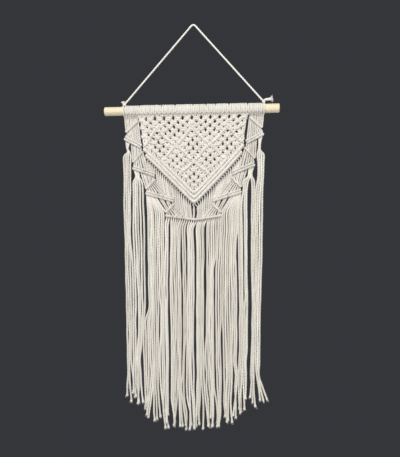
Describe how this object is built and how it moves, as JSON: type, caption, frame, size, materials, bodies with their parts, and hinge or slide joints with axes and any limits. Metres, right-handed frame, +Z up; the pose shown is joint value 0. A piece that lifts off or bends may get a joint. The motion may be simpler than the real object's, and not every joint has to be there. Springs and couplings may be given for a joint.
{
  "type": "macrame wall hanging on a wooden dowel",
  "caption": "Cream cotton macrame hanging with a diamond-patterned chevron, stepped borders and a long fringe, on a pale wooden dowel with a hanging cord.",
  "frame": {"origin": "the point where the hanging cord lies on the nail or hook that holds it", "axes": "+X along the dowel to the right as seen from the front, +Y towards the wall (the front faces -Y), +Z up"},
  "size_m": [0.321, 0.0216, 0.7431],
  "materials": {
    "cotton": "matt twisted cotton cord, knotted",
    "fringe": "matt twisted cotton cord, hanging loose",
    "hanging_cord": "matt twisted cotton cord, taut",
    "wood": "bare sanded pine"
  },
  "bodies": {
    "root": {"dowel": "wood", "hanging_cord": "hanging_cord", "tie_left": "hanging_cord", "tie_right": "hanging_cord", "heading": "cotton", "chevron": "cotton", "border_left": "cotton", "border_right": "cotton", "fringe_outer_left": "fringe", "fringe_middle_left": "fringe", "fringe_inner_left": "fringe", "fringe_centre_left": "fringe", "fringe_outer_right": "fringe", "fringe_middle_right": "fringe", "fringe_inner_right": "fringe", "fringe_centre_right": "fringe"}
  },
  "joints": []
}
